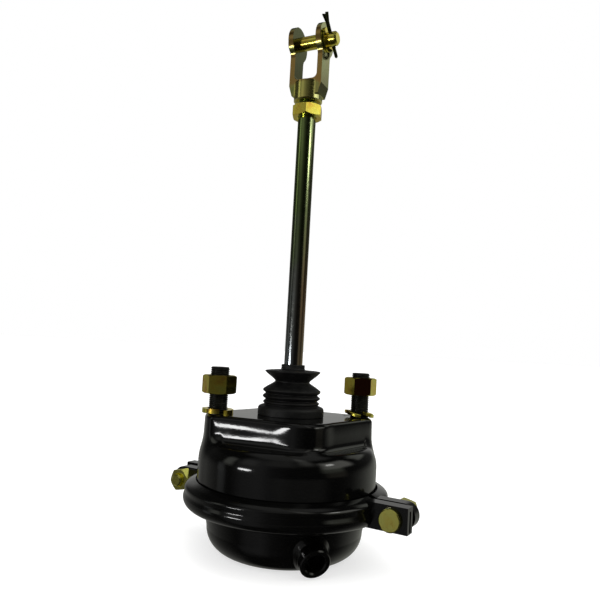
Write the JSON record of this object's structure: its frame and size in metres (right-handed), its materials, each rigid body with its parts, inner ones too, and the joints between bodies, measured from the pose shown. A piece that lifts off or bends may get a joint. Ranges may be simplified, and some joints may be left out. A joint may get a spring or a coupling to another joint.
{
  "type": "air brake chamber",
  "caption": "Diaphragm air brake service chamber with clamp ring, mounting studs, air port, long push rod, dust boot and clevis.",
  "frame": {"origin": "centre of the flat mounting face, on the push rod axis", "axes": "+Z along the push rod out of the chamber, X along the line of the two mounting studs, the air port on the -Y side"},
  "size_m": [0.1802, 0.1726, 0.4451],
  "materials": {
    "black_gloss": "gloss black enamel",
    "stud_black": "black phosphate, semi-gloss",
    "yellow_zinc": "yellow chromated zinc",
    "olive_zinc": "olive-yellow chromated zinc",
    "rod_zinc": "dark iridescent zinc",
    "boot_rubber": "matt black rubber",
    "diaphragm_rubber": "fabric-reinforced black rubber",
    "plain_steel": "zinc-plated pressed steel",
    "spring_steel": "black coated spring steel",
    "cotter_steel": "dark zinc-plated wire"
  },
  "bodies": {
    "chamber": {"non_pressure_housing": "black_gloss", "stud_plate": "black_gloss", "mounting_stud_left": "stud_black", "mounting_stud_right": "stud_black", "lock_washer_left": "yellow_zinc", "lock_washer_right": "yellow_zinc", "dust_boot": "boot_rubber", "pressure_housing": "black_gloss", "air_port_boss": "black_gloss", "diaphragm": "diaphragm_rubber", "return_spring": "spring_steel", "clamp_half_front": "black_gloss", "clamp_half_rear": "black_gloss", "clamp_bolt_right": "yellow_zinc", "clamp_bolt_left": "yellow_zinc", "clamp_nut_right": "yellow_zinc", "clamp_nut_left": "yellow_zinc"},
    "push_rod": {"push_rod": "rod_zinc", "piston_plate": "plain_steel", "jam_nut": "yellow_zinc", "clevis": "olive_zinc"},
    "clevis_pin": {"clevis_pin": "olive_zinc", "pin_washer": "yellow_zinc", "cotter_pin": "cotter_steel"},
    "nut_left": {"mounting_nut_left": "yellow_zinc"},
    "nut_right": {"mounting_nut_right": "yellow_zinc"}
  },
  "joints": [
    {"name": "push_rod_stroke", "type": "slide", "parent": "chamber", "child": "push_rod", "axis": [0, 0, 1], "range_m": [0, 0.057], "stiffness_N_per_m": 2000, "springref_m": -0.075, "deforming": ["return_spring", "dust_boot", "diaphragm"]},
    {"name": "clevis_pin_turn", "type": "hinge", "parent": "push_rod", "child": "clevis_pin", "pos_m": [0, 0, 0.321], "axis": [0.766, -0.6428, 0], "continuous": true},
    {"name": "nut_left_travel", "type": "slide", "parent": "chamber", "child": "nut_left", "axis": [0, 0, 1], "range_m": [-0.0111, 0.0104]},
    {"name": "nut_right_travel", "type": "slide", "parent": "chamber", "child": "nut_right", "axis": [0, 0, 1], "range_m": [-0.0118, 0.0082]}
  ]
}
